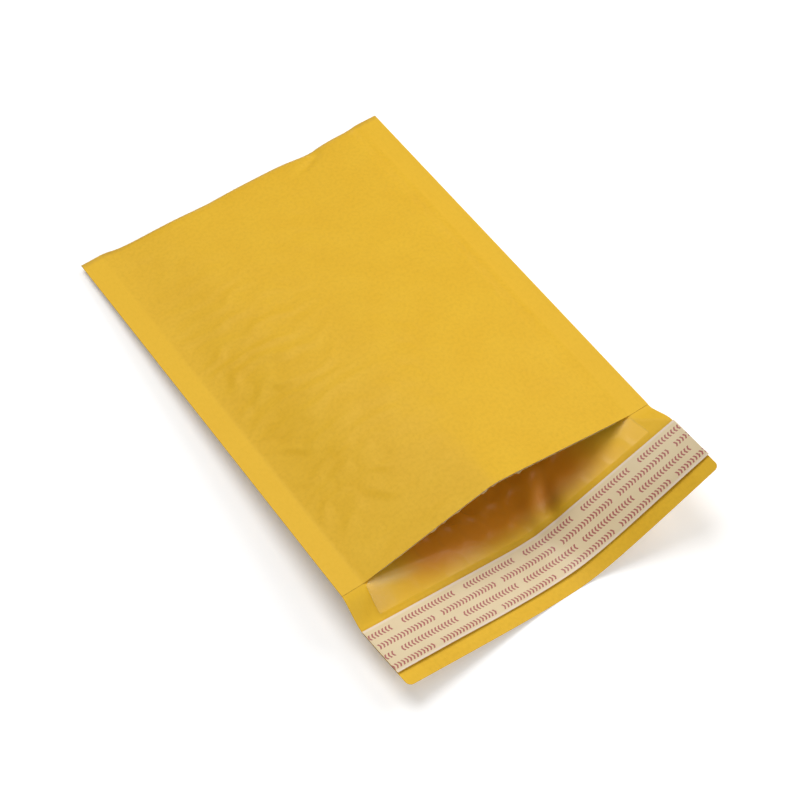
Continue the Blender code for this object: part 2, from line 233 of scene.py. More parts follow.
@dataclass(frozen=True)
class Drape:
    """How the envelope lies: where each place of the folded kraft sheet is in space.

    The heights are those of the side seams and flap corners above the table; a bend is the
    radius of a soft V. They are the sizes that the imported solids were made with.
    """

    cut: Cut = Cut()
    mouth_left: float = 19.2 * MM
    mouth_right: float = 23.2 * MM
    mouth_rise: float = 14.3 * MM
    mouth_sway: float = -1.0 * MM
    pad_ramp_width: float = 9.0 * MM
    left_ramp_width: float = 34.0 * MM
    pad_fade: float = 80.0 * MM
    nose_length: float = 5.5 * MM
    fold_setback: float = 1.2 * MM
    setback_length: float = 60.0 * MM
    contact: float = 3.0 * MM
    fold_bend: float = 60.0 * MM
    ridge_bend: float = 3.1 * MM
    ridge_offset: float = -3.8 * MM
    ridge_length: float = 110.0 * MM
    trough_bend: float = 5.2 * MM
    turn_length: float = 13.4 * MM
    flap_left_turn: float = 11.3 * MM
    flap_left_end: float = 12.1 * MM
    flap_right_turn: float = 28.0 * MM
    flap_right_end: float = 32.6 * MM
    turn_sway: float = -0.5 * MM
    flap_sway: float = 0.2 * MM
    turn_offset: float = 1.6 * MM
    end_offset: float = 0.6 * MM
    flap_end_bend: float = 14.5 * MM
    flap_turn_bend: float = 3.6 * MM
    bubble_pitch: float = 11.3 * MM
    bubble_radius: float = 5.0 * MM
    bubble_print: float = 0.16 * MM
    ripple_depth: float = 0.10 * MM
    fold_dents: tuple[tuple[float, float, float], ...] = (
        (36.0 * MM, 9.0 * MM, 1.3 * MM),
        (-15.0 * MM, 11.0 * MM, 0.5 * MM),
        (-62.0 * MM, 9.0 * MM, -0.4 * MM),
    )
    dent_fade: float = 14.0 * MM
    wrinkle_depth: float = 0.30 * MM
    wrinkle_pitch: float = 9.8 * MM
    wrinkle_start: float = 22.0 * MM
    front_creases: tuple[Crease, ...] = (
        Crease(33.0 * MM, 8.5 * MM, 6.5 * MM, 1.7 * MM, -28.0, 1.1 * MM),
        Crease(39.0 * MM, 3.5 * MM, 3.0 * MM, 2.6 * MM, 60.0, 0.9 * MM),
        Crease(-9.0 * MM, 4.0 * MM, 5.0 * MM, 1.8 * MM, 20.0, 0.4 * MM),
        Crease(-26.0 * MM, 193.5 * MM, 6.0 * MM, 3.0 * MM, 8.0, -0.35 * MM),
        Crease(-46.0 * MM, 190.0 * MM, 9.0 * MM, 3.2 * MM, -6.0, 0.35 * MM),
    )
    back_creases: tuple[Crease, ...] = (
        Crease(20.5 * MM, 202.0 * MM, 7.0 * MM, 3.3 * MM, 118.0, 2.8 * MM),
        Crease(12.0 * MM, 203.5 * MM, 7.0 * MM, 3.0 * MM, 112.0, -0.6 * MM),
    )

    @property
    def fold_height(self) -> float:
        """Height of the side seams at the folded end."""
        return self.cut.paper + self.cut.pad_depth

    @property
    def panel_run(self) -> float:
        """Y distance from the fold to the mouth: the panel climbs as it nears the mouth."""
        climb = (self.mouth_left + self.mouth_right) / 2 - self.fold_height
        return float(np.sqrt(self.cut.panel_length**2 - climb**2))

    @property
    def fold_y(self) -> float:
        """Y of the folded end."""
        return (self.panel_run + self.cut.flap_length) / 2

    def body_share(self, v: Array) -> Array:
        """0 at the fold and 1 at the mouth and beyond."""
        return np.clip(v / self.cut.panel_length, 0.0, 1.0)

    def turn_share(self, v: Array) -> Array:
        """0 up to the mouth, 1 from the end of the flap's first bend."""
        return ease((v - self.cut.panel_length) / self.turn_length)

    def flap_share(self, v: Array) -> Array:
        """0 up to the flap's first bend and 1 at its end."""
        past = v - self.cut.panel_length - self.turn_length
        return np.clip(past / (self.cut.flap_length - self.turn_length), 0.0, 1.0)

    def nose(self, v: Array) -> Array:
        """The quarter ellipse of the folded end, from 0 at the fold to 1 behind it."""
        return np.sqrt(1.0 - np.clip(1.0 - v / self.nose_length, 0.0, 1.0) ** 2)

    def pad_share(self, v: Array) -> Array:
        """How far the padding lifts the paper, fading where the mouth draws it taut."""
        return 1.0 - ease((v - self.cut.panel_length + self.pad_fade) / self.pad_fade)

    def pad_ramp(self, u: Array) -> Array:
        """0 at the weld line and beyond, 1 where the padding has its full depth."""
        return ease((self.cut.weld_line - np.abs(u)) / self.pad_ramp_width)

    def front_ramp(self, u: Array) -> Array:
        """The same for the front sheet, whose left side rises more gently."""
        width = np.where(u < 0.0, self.left_ramp_width, self.pad_ramp_width)
        return ease((self.cut.weld_line - np.abs(u)) / width)

    def side_height(self, v: Array, mouth: float, turn: float, end: float) -> Array:
        """Height of a side edge: a straight climb to the mouth, a bend, then the flap's edge."""
        body = mix(self.fold_height, mouth, self.body_share(v))
        return mix(body, turn, self.turn_share(v)) + (end - turn) * self.flap_share(v)

    def left_height(self, v: Array) -> Array:
        """Height of the left edge."""
        return self.side_height(v, self.mouth_left, self.flap_left_turn, self.flap_left_end)

    def right_height(self, v: Array) -> Array:
        """Height of the right edge."""
        return self.side_height(v, self.mouth_right, self.flap_right_turn, self.flap_right_end)

    def back_hollow(self, u: Array, v: Array) -> tuple[Array, Array]:
        """Height of the nearer edge, and how far the back sheet hangs below it.

        The sheet is a soft V with a narrow flat that lies on the table; it softens from a crease
        at the mouth to an arch at the fold and at the flap's end.
        """
        turned, on_flap = self.turn_share(v), self.flap_share(v)
        middle = mix(self.turn_offset * turned, self.end_offset, on_flap)
        body_bend = mix(self.fold_bend, self.trough_bend, ease(self.body_share(v)))
        softness = mix(mix(body_bend, self.flap_turn_bend, turned), self.flap_end_bend, ease(on_flap))
        reach = mix(self.cut.weld_line, self.cut.half_width, turned)
        valley = bend(u, middle, softness, reach, self.contact)
        edge = np.where(u < middle, self.left_height(v), self.right_height(v))
        pad = self.cut.pad_depth * self.pad_share(v)
        return edge, pad * self.pad_ramp(u) + (edge - self.cut.paper - pad) * (1.0 - valley)

    def back_relief(self, u: Array, v: Array) -> Array:
        """How far the back sheet stands off its smooth shape, upwards: bubbles, then creases."""
        over_pad = self.pad_ramp(u) * (1.0 - ease((v - 0.75 * self.cut.panel_length) / self.pad_fade))
        between = 1.0 - bubble_dome(u, v, self.bubble_pitch, self.bubble_radius)
        relief = self.bubble_print * between * over_pad * ease(v / self.dent_fade)
        for crease in self.back_creases:
            relief = relief - crease.sink(u, v)
        return relief

    def front_relief(self, u: Array, v: Array) -> Array:
        """How far the front sheet sinks under its smooth shape: bubbles, unevenness, creases."""
        over_pad = ease((self.cut.weld_line - np.abs(u)) / self.pad_ramp_width)
        near_fold = ease(v / self.dent_fade)
        uneven = 0.5 + 0.5 * ripple(u, v, 46.0 * MM, 11)
        between = 1.0 - bubble_dome(u, v, self.bubble_pitch, self.bubble_radius)
        taut = 1.0 - 0.75 * ease((v - 0.80 * self.cut.panel_length) / (0.20 * self.cut.panel_length))
        relief = self.bubble_print * between * uneven * taut
        relief = relief + self.ripple_depth * (1.0 + ripple(u, v, 23.0 * MM, 5, 0.7)) * taut
        relief = relief * over_pad * near_fold
        leftward = ease((8.0 * MM - u) / (52.0 * MM)) * ease((v - self.wrinkle_start) / (60.0 * MM))
        wrinkles = self.wrinkle_depth * leftward * row_wrinkles(u, v, self.wrinkle_pitch)
        relief = relief + wrinkles * over_pad * taut
        for crease in self.front_creases:
            relief = relief + crease.sink(u, v) * over_pad
        return relief

    def floor_height(self, u: Array, v: Array) -> Array:
        """Upper face of the back panel and flap."""
        edge, hollow = self.back_hollow(u, v)
        return edge - hollow * self.nose(v - self.cut.paper) + self.back_relief(u, v)

    def belly_height(self, u: Array, v: Array) -> Array:
        """Lower face of the back panel and flap, one paper further out round the fold."""
        edge, hollow = self.back_hollow(u, v)
        return edge - hollow * self.nose(v) - self.cut.paper + self.back_relief(u, v)

    def front_arch(self, u: Array, v: Array) -> Array:
        """How far the front panel stands above the plane of the two weld lines."""
        share = self.body_share(v)
        into_ridge = ease((v - self.cut.panel_length + self.ridge_length) / self.ridge_length)
        softness = mix(self.fold_bend, self.ridge_bend, into_ridge)
        ridge = bend(u, self.ridge_offset * share, softness, self.cut.weld_line)
        pad = self.cut.pad_depth * self.pad_share(v) * self.front_ramp(u)
        return pad + self.mouth_rise * share * (1.0 - ridge)

    def weld_height(self, u: Array, v: Array) -> Array:
        """Height of the plane through the two weld lines, level with the bands outside them."""
        line = self.cut.weld_line
        across = (np.clip(u, -line, line) + line) / (2 * line)
        return mix(self.left_height(v), self.right_height(v), across)

    def ceiling_height(self, u: Array, v: Array) -> Array:
        """Lower face of the front panel."""
        arch = self.front_arch(u, v) * self.nose(v - self.cut.paper)
        return self.weld_height(u, v) + arch - self.front_relief(u, v)

    def crown_height(self, u: Array, v: Array) -> Array:
        """Upper face of the front panel, one paper further out round the fold."""
        arch = self.front_arch(u, v) * self.nose(v)
        return self.weld_height(u, v) + arch + self.cut.paper - self.front_relief(u, v)

    def along(self, u: Array, v: Array) -> Array:
        """Y of a place: the panels' run, less what the padding and the fold's dents take up."""
        setback = self.fold_setback * self.pad_ramp(u) * (1.0 - ease(v / self.setback_length))
        for place, half_width, depth in self.fold_dents:
            dent = depth * np.exp(-(((u - place) / half_width) ** 2))
            setback = setback + dent * (1.0 - ease(v / self.dent_fade))
        run = self.panel_run * self.body_share(v) + np.maximum(v - self.cut.panel_length, 0.0)
        return self.fold_y - run - setback

    def flat_run(self, v: Array, samples: int = 241) -> tuple[Array, Array]:
        """X that the back sheet covers from its left edge, for even samples of u on each row.

        Paper doesn't stretch, so a step covers the root of its square less its climb's square.
        """
        places = np.linspace(-self.cut.half_width, self.cut.half_width, samples)
        u, rows = np.meshgrid(places, v)
        edge, hollow = self.back_hollow(u, rows)
        height = edge - hollow * self.nose(rows - self.cut.paper)
        steps = np.diff(u, axis=1) ** 2 - np.diff(height, axis=1) ** 2
        covered = np.cumsum(np.sqrt(np.maximum(steps, 0.0)), axis=1)
        return places, np.concatenate([np.zeros((len(v), 1)), covered], axis=1)

    def edge_span(self, v: Array) -> Array:
        """X distance from the left edge to the right one; straight from the fold to the mouth."""
        mouth_span = self.flat_run(np.array([self.cut.panel_length]))[1][0, -1]
        own_span = self.flat_run(v)[1][:, -1]
        straight = mix(self.cut.width, mouth_span, self.body_share(v))
        return np.where(v < self.cut.panel_length, straight, own_span)

    def middle_x(self, v: Array) -> Array:
        """X midway between the two edges."""
        turned = mix(self.mouth_sway * self.body_share(v), self.turn_sway, self.turn_share(v))
        return mix(turned, self.flap_sway, self.flap_share(v))

    def across_back(self, u: Array, v: Array) -> Array:
        """X of places on the back sheet, on rows v and columns u."""
        places, covered = self.flat_run(v)
        run = np.stack([np.interp(row_u, places, row) for row_u, row in zip(u, covered)])
        share = run / covered[:, -1:] - 0.5
        return self.middle_x(v)[:, None] + share * self.edge_span(v)[:, None]

    def across_front(self, u: Array, v: Array) -> Array:
        """X of places on the front sheet: the back's at the bands, even steps between them."""
        line = self.cut.weld_line
        weld_x = self.across_back(np.broadcast_to(np.array([-line, line]), (len(v), 2)), v)
        inside = mix(weld_x[:, :1], weld_x[:, 1:], (u + line) / (2 * line))
        return np.where(np.abs(u) > line, self.across_back(u, v), inside)

    def surface(self, u: Array, v: Array, height: Field, across: Field) -> Array:
        """Points over rows v and columns u, as an array of rows, columns and X Y Z."""
        rows = np.broadcast_to(v[:, None], u.shape)
        return np.stack([across(u, v), self.along(u, rows), height(u, rows)], axis=-1)

    def back(self, u: Array, v: Array, height: Field) -> Array:
        """Points of a face of the back sheet."""
        return self.surface(u, v, height, self.across_back)

    def front(self, u: Array, v: Array, height: Field) -> Array:
        """Points of a face of the front sheet."""
        return self.surface(u, v, height, self.across_front)


# ---------------------------------------------------------------------------------------------
# Meshes
# ---------------------------------------------------------------------------------------------


def spaced(*stops: tuple[float, int]) -> Array:
    """Values through the stops in turn; each stop after the first names its count of steps."""
    parts = [np.linspace(a, b, steps + 1)[1:] for (a, _), (b, steps) in zip(stops, stops[1:])]
    return np.concatenate([[stops[0][0]], *parts])


def rows_of(columns: Array, count: int) -> Array:
    """The same columns of u on every row."""
    return np.broadcast_to(columns, (count, len(columns)))


def quads(ids: Array) -> Array:
    """The four corners of each cell of a grid of point numbers."""
    corners = [ids[:-1, :-1], ids[:-1, 1:], ids[1:, 1:], ids[1:, :-1]]
    return np.stack(corners, axis=-1).reshape(-1, 4)


class Side(Enum):
    """Which side of a sheet a face is on; its number is that of the finish it takes."""

    OUTER = 0
    INNER = 1
    EDGE = 2


@dataclass
class Shell:
    """A closed skin under construction: points, their places on the flat sheet, and faces."""

    points: list[Array] = field(default_factory=list)
    places: list[Array] = field(default_factory=list)
    faces: list[Array] = field(default_factory=list)
    sides: list[Side] = field(default_factory=list)
    count: int = 0

    def add(self, points: Array, u: Array, v: Array) -> Array:
        """Adds a grid of points.

        Args:
            points: Rows, columns and X Y Z.
            u: Place of each point across the flat sheet.
            v: Place of each along it, less than 0 on the front panel.

        Returns:
            The grid of the new points' numbers.
        """
        ids = self.count + np.arange(points[..., 0].size).reshape(points.shape[:-1])
        flat = np.stack(np.broadcast_arrays(u, v), axis=-1) / MM
        self.points.append(points.reshape(-1, 3))
        self.places.append(np.broadcast_to(flat, (*points.shape[:-1], 2)).reshape(-1, 2))
        self.count += ids.size
        return ids

    def cover(self, ids: Array, side: Side = Side.OUTER) -> None:
        """Adds the cells of a grid of point numbers as faces on one side of the sheet."""
        self.faces.append(quads(ids))
        self.sides.append(side)

    def bridge(self, first: Array, second: Array, side: Side = Side.EDGE) -> None:
        """Adds a strip of faces between two rows of point numbers."""
        self.cover(np.stack([first, second]), side)

    def to_piece(self, name: str, sharp_degrees: float = 50.0) -> bpy.types.Object:
        """Makes the object, smooth but for its cut edges, its normals facing out.

        Args:
            name: Name of the piece and its mesh.
            sharp_degrees: Edges that turn more than this stay sharp.

        Returns:
            The piece, linked to the scene, with its flat places as a map in millimetres.
        """
        mesh = bpy.data.meshes.new(name)
        faces = [face for part in self.faces for face in part.tolist()]
        mesh.from_pydata(np.concatenate(self.points), [], faces)
        shape = bmesh.new()
        shape.from_mesh(mesh)
        bmesh.ops.recalc_face_normals(shape, faces=shape.faces)
        shape.to_mesh(mesh)
        shape.free()
        numbers = [np.full(len(part), side.value) for part, side in zip(self.faces, self.sides)]
        mesh.polygons.foreach_set("material_index", np.concatenate(numbers))
        mesh.shade_smooth()
        mesh.set_sharp_from_angle(angle=np.radians(sharp_degrees))
        corners = np.zeros(len(mesh.loops), np.int32)
        mesh.loops.foreach_get("vertex_index", corners)
        flat = mesh.uv_layers.new(name=FLAT_MAP)
        flat.data.foreach_set("uv", np.concatenate(self.places)[corners].astype(np.float32).ravel())
        piece = bpy.data.objects.new(name, mesh)
        bpy.context.scene.collection.objects.link(piece)
        return piece


@dataclass(frozen=True)
class PouchGrids:
    """Rows and columns of a web that is folded into a pouch with a tongue past its mouth.

    Attributes:
        columns: Places across the web, edge to edge.
        band: How many columns at each side are pressed into one layer.
        outer: Rows of the outer faces, from the fold to the mouth.
        inner: Rows of the hollow, from its closed end to the mouth.
        tongue: Rows from the mouth to the web's end.
    """

    columns: Array
    band: int
    outer: Array
    inner: Array
    tongue: Array

    @property
    def hollow_columns(self) -> Array:
        """The columns that span the hollow."""
        return self.columns[self.band : len(self.columns) - self.band]


def pouch(grids: PouchGrids, low: Array, top: Array, floor: Array, ceiling: Array, lip: Array) -> Shell:
    """Joins the faces of a folded web into one closed skin.

    Args:
        grids: The rows and columns that the points below were worked out on.
        low: Outer face of the back layer, over the outer and the tongue rows.
        top: Outer face of the front layer, over the outer rows.
        floor: Inner face of the back layer, over the inner rows and the hollow's columns.
        ceiling: Inner face of the front layer, over the same.
        lip: Upper face of the tongue, over its rows and every column.

    Returns:
        The skin, closed along the fold, the sides, the mouth and the tongue.
    """
    shell, columns, band = Shell(), grids.columns, grids.band
    last = len(columns) - band
    mouth = len(grids.outer) - 1
    inside = grids.hollow_columns
    all_rows = np.concatenate([grids.outer, grids.tongue[1:]])
    low_ids = shell.add(low, columns, all_rows[:, None])
    top_ids = shell.add(top, columns, -grids.outer[:, None])
    seated = lip.copy()
    seated[0, [band, last - 1]] = (lip[0, [band, last - 1]] + ceiling[-1, [0, -1]]) / 2
    lip_ids = shell.add(seated, columns, grids.tongue[:, None])

    # The hollow's two faces share their points along its closed end and its two sides.
    shared = (floor + ceiling) / 2
    ground = floor.copy()
    ground[0], ground[:, 0], ground[:, -1] = shared[0], shared[:, 0], shared[:, -1]
    ground_ids = shell.add(ground[:-1], inside, grids.inner[:-1, None])
    floor_ids = np.concatenate([ground_ids, lip_ids[:1, band:last]])
    ceiling_ids = floor_ids.copy()
    ceiling_ids[1:, 1:-1] = shell.add(ceiling[1:, 1:-1], inside[1:-1], -grids.inner[1:, None])

    for ids in (low_ids, top_ids):
        shell.cover(ids)
    for ids in (lip_ids, floor_ids, ceiling_ids):
        shell.cover(ids, Side.INNER)
    edge = np.concatenate([lip_ids[0, :band], ceiling_ids[-1], lip_ids[0, last:]])
    shell.bridge(top_ids[-1], edge)
    shell.bridge(low_ids[0], top_ids[0], Side.OUTER)
    shell.bridge(low_ids[-1], lip_ids[-1])
    for side in (0, -1):
        shell.bridge(low_ids[:mouth, side], top_ids[:mouth, side])
        shell.bridge(low_ids[mouth:, side], lip_ids[:, side])
        corner = [low_ids[mouth - 1, side], low_ids[mouth, side], lip_ids[0, side]]
        shell.faces.append(np.array([[*corner, top_ids[mouth, side], top_ids[mouth - 1, side]]]))
        shell.sides.append(Side.EDGE)
    return shell


def strip(low: Array, top: Array, u: Array, v: Array) -> Shell:
    """A strip between a lower and an upper grid of points, closed round its rim."""
    shell = Shell()
    low_ids = shell.add(low, u, v[:, None])
    top_ids = shell.add(top, u, v[:, None])
    shell.cover(low_ids)
    shell.cover(top_ids)
    for rim in (np.s_[0, :], np.s_[-1, :], np.s_[:, 0], np.s_[:, -1]):
        shell.bridge(low_ids[rim], top_ids[rim])
    return shell


# ---------------------------------------------------------------------------------------------
# Finishes
# ---------------------------------------------------------------------------------------------


def linear(hex_colour: str) -> tuple[float, float, float, float]:
    """An sRGB hex colour as the linear numbers that a shader takes."""
    channels = np.array([int(hex_colour[i : i + 2], 16) for i in (1, 3, 5)]) / 255.0
    plain = np.where(channels <= 0.04045, channels / 12.92, ((channels + 0.055) / 1.055) ** 2.4)
    return (*plain.tolist(), 1.0)


def add_node(
    tree: bpy.types.NodeTree, kind: str, inputs: dict[int | str, Any] | None = None, **settings: Any
) -> bpy.types.Node:
    """Adds a node with its settings, values and links.

    Args:
        tree: The node tree to add it to.
        kind: The node's type name.
        inputs: By name or number, a value to set or another node's output to link.
        **settings: Properties of the node itself.

    Returns:
        The new node.
    """
    made = tree.nodes.new(kind)
    for name, value in settings.items():
        setattr(made, name, value)
    for key, value in (inputs or {}).items():
        if isinstance(value, bpy.types.NodeSocket):
            tree.links.new(value, made.inputs[key])
        else:
            made.inputs[key].default_value = value
    return made


@dataclass(frozen=True)
class Finish:
    """A surface finish; each kind fills in its own nodes."""

    name: str

    def shade(self, tree: bpy.types.NodeTree) -> bpy.types.NodeSocket:
        """Adds the finish's nodes and returns the shader's output."""
        raise NotImplementedError

    def make(self) -> bpy.types.Material:
        """The finish as a material."""
        material = bpy.data.materials.new(self.name)
        material.use_nodes = True
        tree = material.node_tree
        tree.nodes.clear()
        add_node(tree, "ShaderNodeOutputMaterial", {"Surface": self.shade(tree)})
        return material


def noise(tree: bpy.types.NodeTree, place: Any, size: float, detail: float, **inputs: Any) -> Any:
    """The 0 to 1 value of a noise whose grain is size millimetres on the flat sheet."""
    values = {"Vector": place, "Scale": 1.0 / size, "Detail": detail, **inputs}
    return add_node(tree, "ShaderNodeTexNoise", values).outputs["Fac"]


def math_node(tree: bpy.types.NodeTree, operation: str, *values: Any) -> Any:
    """The result of a sum on one to three numbers or outputs."""
    return add_node(tree, "ShaderNodeMath", dict(enumerate(values)), operation=operation).outputs[0]


def blend_colour(tree: bpy.types.NodeTree, share: Any, first: Any, second: Any) -> Any:
    """A colour between two, by a share from 0 to 1."""
    made = add_node(tree, "ShaderNodeMix", {0: share, 6: first, 7: second}, data_type="RGBA")
    return made.outputs[2]


def flat_place(tree: bpy.types.NodeTree, stretch: tuple[float, float] = (1.0, 1.0)) -> Any:
    """The place on the flat sheet in millimetres, each way divided by its stretch."""
    flat = add_node(tree, "ShaderNodeUVMap", uv_map=FLAT_MAP).outputs["UV"]
    scale = (1.0 / stretch[0], 1.0 / stretch[1], 1.0)
    return add_node(tree, "ShaderNodeMapping", {"Vector": flat, "Scale": scale}).outputs["Vector"]


@dataclass(frozen=True)
class GoldenKraft(Finish):
    """Golden kraft paper, dyed in the pulp and lightly calendered.

    The eye sees a warm yellow sheet, faintly cloudy and mottled, with fine fibres along the
    machine direction, a soft sheen, and pressed seams that are smoother and a little brighter.
    Painted shade darkens the sheet along its folded end and, on the inner side, turns it a
    deeper orange under the front panel.
    """

    name: str = "golden_kraft_paper"
    body: str = "#e4b52a"
    cloud: str = "#dfad22"
    fleck: str = "#c8991f"
    pressed: str = "#e7b72b"
    cloud_size: float = 16.0
    mottle_size: float = 1.6
    fibre_width: float = 0.28
    fibre_length: float = 3.2
    roughness: float = 0.55
    specular: float = 0.25
    weld_line: float = 65.6
    film_covers: bool = False
    film_edge: float = 65.1
    film_end: float = 208.5
    # Painted shade: a darker, greyer brown along the folded end, and the width it fades over.
    painted_fold_shade: str = "#a07c34"
    painted_fold_shade_width: float = 3.0
    under_film: str = "#f2bf2d"
    # Painted shade: a deeper orange for the paper inside the pouch, where the front panel shades it.
    painted_inner_shade: str = "#e98c0e"

    def painted_fold_shade_share(self, tree: bpy.types.NodeTree, place: Any, mottle: Any) -> Any:
        """How much painted shade darkens the folded edge: most on the fold, in patches."""
        along = math_node(tree, "ABSOLUTE", add_node(tree, "ShaderNodeSeparateXYZ", {0: place}).outputs["Y"])
        limits = {0: along, 1: 0.2, 2: self.painted_fold_shade_width, 3: 0.8, 4: 0.0}
        near = add_node(tree, "ShaderNodeMapRange", limits, interpolation_type="SMOOTHSTEP").outputs[0]
        return math_node(tree, "MULTIPLY", near, math_node(tree, "MULTIPLY_ADD", mottle, 0.6, 0.2))

    def covered(self, tree: bpy.types.NodeTree, place: Any, body: Any) -> Any:
        """The paper's colour as it is under the film: clearer, and deeper towards the inside, where a painted shade
        stands for the shadow under the front panel.
        """
        parts = add_node(tree, "ShaderNodeSeparateXYZ", {0: place})
        across = math_node(tree, "ABSOLUTE", parts.outputs["X"])
        along = math_node(tree, "ABSOLUTE", parts.outputs["Y"])
        beside = add_node(
            tree, "ShaderNodeMapRange", {0: across, 1: self.film_edge - 0.2, 2: self.film_edge + 0.2, 3: 1.0, 4: 0.0}
        )
        before = add_node(
            tree, "ShaderNodeMapRange", {0: along, 1: self.film_end - 0.3, 2: self.film_end + 0.3, 3: 1.0, 4: 0.0}
        )
        under = math_node(tree, "MULTIPLY", beside.outputs[0], before.outputs[0])
        # Painted shade mask: whole inside the mouth and near the middle, gone on the tongue and towards the sides.
        inside = add_node(
            tree, "ShaderNodeMapRange", {0: along, 1: 199.0, 2: 210.0, 3: 1.0, 4: 0.0}, interpolation_type="SMOOTHSTEP"
        )
        central = add_node(
            tree, "ShaderNodeMapRange", {0: across, 1: 32.0, 2: 58.0, 3: 1.0, 4: 0.0}, interpolation_type="SMOOTHSTEP"
        )
        painted_inner_shade_share = math_node(tree, "MULTIPLY", inside.outputs[0], central.outputs[0])
        under_film_and_shade = blend_colour(tree, painted_inner_shade_share, linear(self.under_film), linear(self.painted_inner_shade))
        return blend_colour(tree, math_node(tree, "MULTIPLY", under, 0.85), body, under_film_and_shade)

    def shade(self, tree: bpy.types.NodeTree) -> bpy.types.NodeSocket:
        """Clouds and mottling by noise, fibres by a stretched one, seams by the place across."""
        place = flat_place(tree)
        fibre_place = flat_place(tree, (self.fibre_width, self.fibre_length))
        clouds = noise(tree, place, self.cloud_size, 3.0)
        mottle = noise(tree, place, self.mottle_size, 4.0)
        fibres = noise(tree, fibre_place, 1.0, 2.0)
        across = add_node(tree, "ShaderNodeSeparateXYZ", {0: place}).outputs["X"]
        outside = math_node(tree, "SUBTRACT", math_node(tree, "ABSOLUTE", across), self.weld_line)
        band = add_node(
            tree, "ShaderNodeMapRange", {0: outside, 1: -0.9, 2: 0.9}, interpolation_type="SMOOTHSTEP"
        ).outputs[0]
        patchy = add_node(tree, "ShaderNodeMapRange", {0: clouds, 1: 0.3, 2: 0.7, 3: 0.0, 4: 0.55})
        body = blend_colour(tree, patchy.outputs[0], linear(self.body), linear(self.cloud))
        spots = add_node(tree, "ShaderNodeMapRange", {0: mottle, 1: 0.42, 2: 0.75, 3: 0.0, 4: 0.28})
        body = blend_colour(tree, spots.outputs[0], body, linear(self.fleck))
        body = blend_colour(tree, math_node(tree, "MULTIPLY", band, 0.55), body, linear(self.pressed))
        threads = add_node(tree, "ShaderNodeMapRange", {0: fibres, 1: 0.5, 2: 0.85, 3: 0.0, 4: 0.22})
        body = blend_colour(tree, threads.outputs[0], body, linear(self.fleck))
        # Painted shade along the folded edge.
        body = blend_colour(tree, self.painted_fold_shade_share(tree, place, mottle), body, linear(self.painted_fold_shade))
        if self.film_covers:
            body = self.covered(tree, place, body)
        rough = math_node(tree, "MULTIPLY_ADD", mottle, 0.16, self.roughness - 0.08)
        grain = math_node(tree, "ADD", fibres, mottle)
        bump = add_node(tree, "ShaderNodeBump", {"Height": grain, "Strength": 0.25, "Distance": 0.00006})
        shader = {
            "Base Color": body,
            "Roughness": rough,
            "Normal": bump.outputs[0],
            "Specular IOR Level": self.specular,
        }
        return add_node(tree, "ShaderNodeBsdfPrincipled", shader).outputs[0]


@dataclass(frozen=True)
class CutPaper(Finish):
    """The cut edge of golden kraft paper.

    The eye sees a hair-thin line, duller and browner than the calendered faces; its brown is darkened further as
    painted shade along the sheet's outline.
    """

    name: str = "golden_kraft_cut_edge"
    # Painted shade: a darker brown that outlines the sheet's edges, over the duller colour of cut paper.
    body: str = "#a88347"

    def shade(self, tree: bpy.types.NodeTree) -> bpy.types.NodeSocket:
        """One plain dull colour, darkened as painted shade."""
        shader = {"Base Color": linear(self.body), "Roughness": 0.85, "Specular IOR Level": 0.2}
        return add_node(tree, "ShaderNodeBsdfPrincipled", shader).outputs[0]


@dataclass(frozen=True)
class BubbleFilm(Finish):
    """Clear low-density polythene bubble film, blown and laminated.

    The eye sees the kraft through it, a little cloudy, with soft pale highlights where its
    slightly wavy skin turns to the light, and whiter lines where it is cut or seen edge on.
    Painted highlights, as extra haze in set places, stand for pale sheens near the mouth's corners.
    """

    name: str = "clear_bubble_film"
    haze_colour: str = "#f8e8b4"
    haze: float = 0.004
    cut_haze: float = 0.35
    cut_at: float = -197.2
    roughness: float = 0.3
    facing_on: float = 0.012

    def shade(self, tree: bpy.types.NodeTree) -> bpy.types.NodeSocket:
        """Clear, mixed with a little haze and, in set places, with extra haze as painted highlights, under a gloss
        that grows at grazing angles.
        """
        place = flat_place(tree)
        waves = noise(tree, place, 11.0, 1.0)
        bump = add_node(tree, "ShaderNodeBump", {"Height": waves, "Strength": 0.3, "Distance": 0.0004})
        clear = add_node(tree, "ShaderNodeBsdfTransparent", {0: (1.0, 1.0, 1.0, 1.0)}).outputs[0]
        haze_and_sheen = add_node(tree, "ShaderNodeBsdfDiffuse", {0: linear(self.haze_colour)}).outputs[0]
        along = add_node(tree, "ShaderNodeSeparateXYZ", {0: place}).outputs["Y"]
        limits = {0: along, 1: self.cut_at - 0.4, 2: self.cut_at + 0.4, 3: self.cut_haze, 4: self.haze}
        even = add_node(tree, "ShaderNodeMapRange", limits).outputs[0]
        # Painted highlights: extra haze per point where the film shows pale sheens.
        patches = add_node(tree, "ShaderNodeAttribute", attribute_name=SHEEN_PATCHES).outputs["Fac"]
        haze_plus_sheen = math_node(tree, "ADD", even, patches)
        body = add_node(tree, "ShaderNodeMixShader", {0: haze_plus_sheen, 1: clear, 2: haze_and_sheen}).outputs[0]
        away = add_node(tree, "ShaderNodeLayerWeight", {"Blend": 0.5}).outputs["Facing"]
        grazing = math_node(tree, "POWER", away, 5.0)
        mirror = math_node(tree, "MULTIPLY_ADD", grazing, 0.9, self.facing_on)
        gloss = {"Roughness": self.roughness, "Normal": bump.outputs[0]}
        shine = add_node(tree, "ShaderNodeBsdfGlossy", gloss).outputs[0]
        return add_node(tree, "ShaderNodeMixShader", {0: mirror, 1: body, 2: shine}).outputs[0]


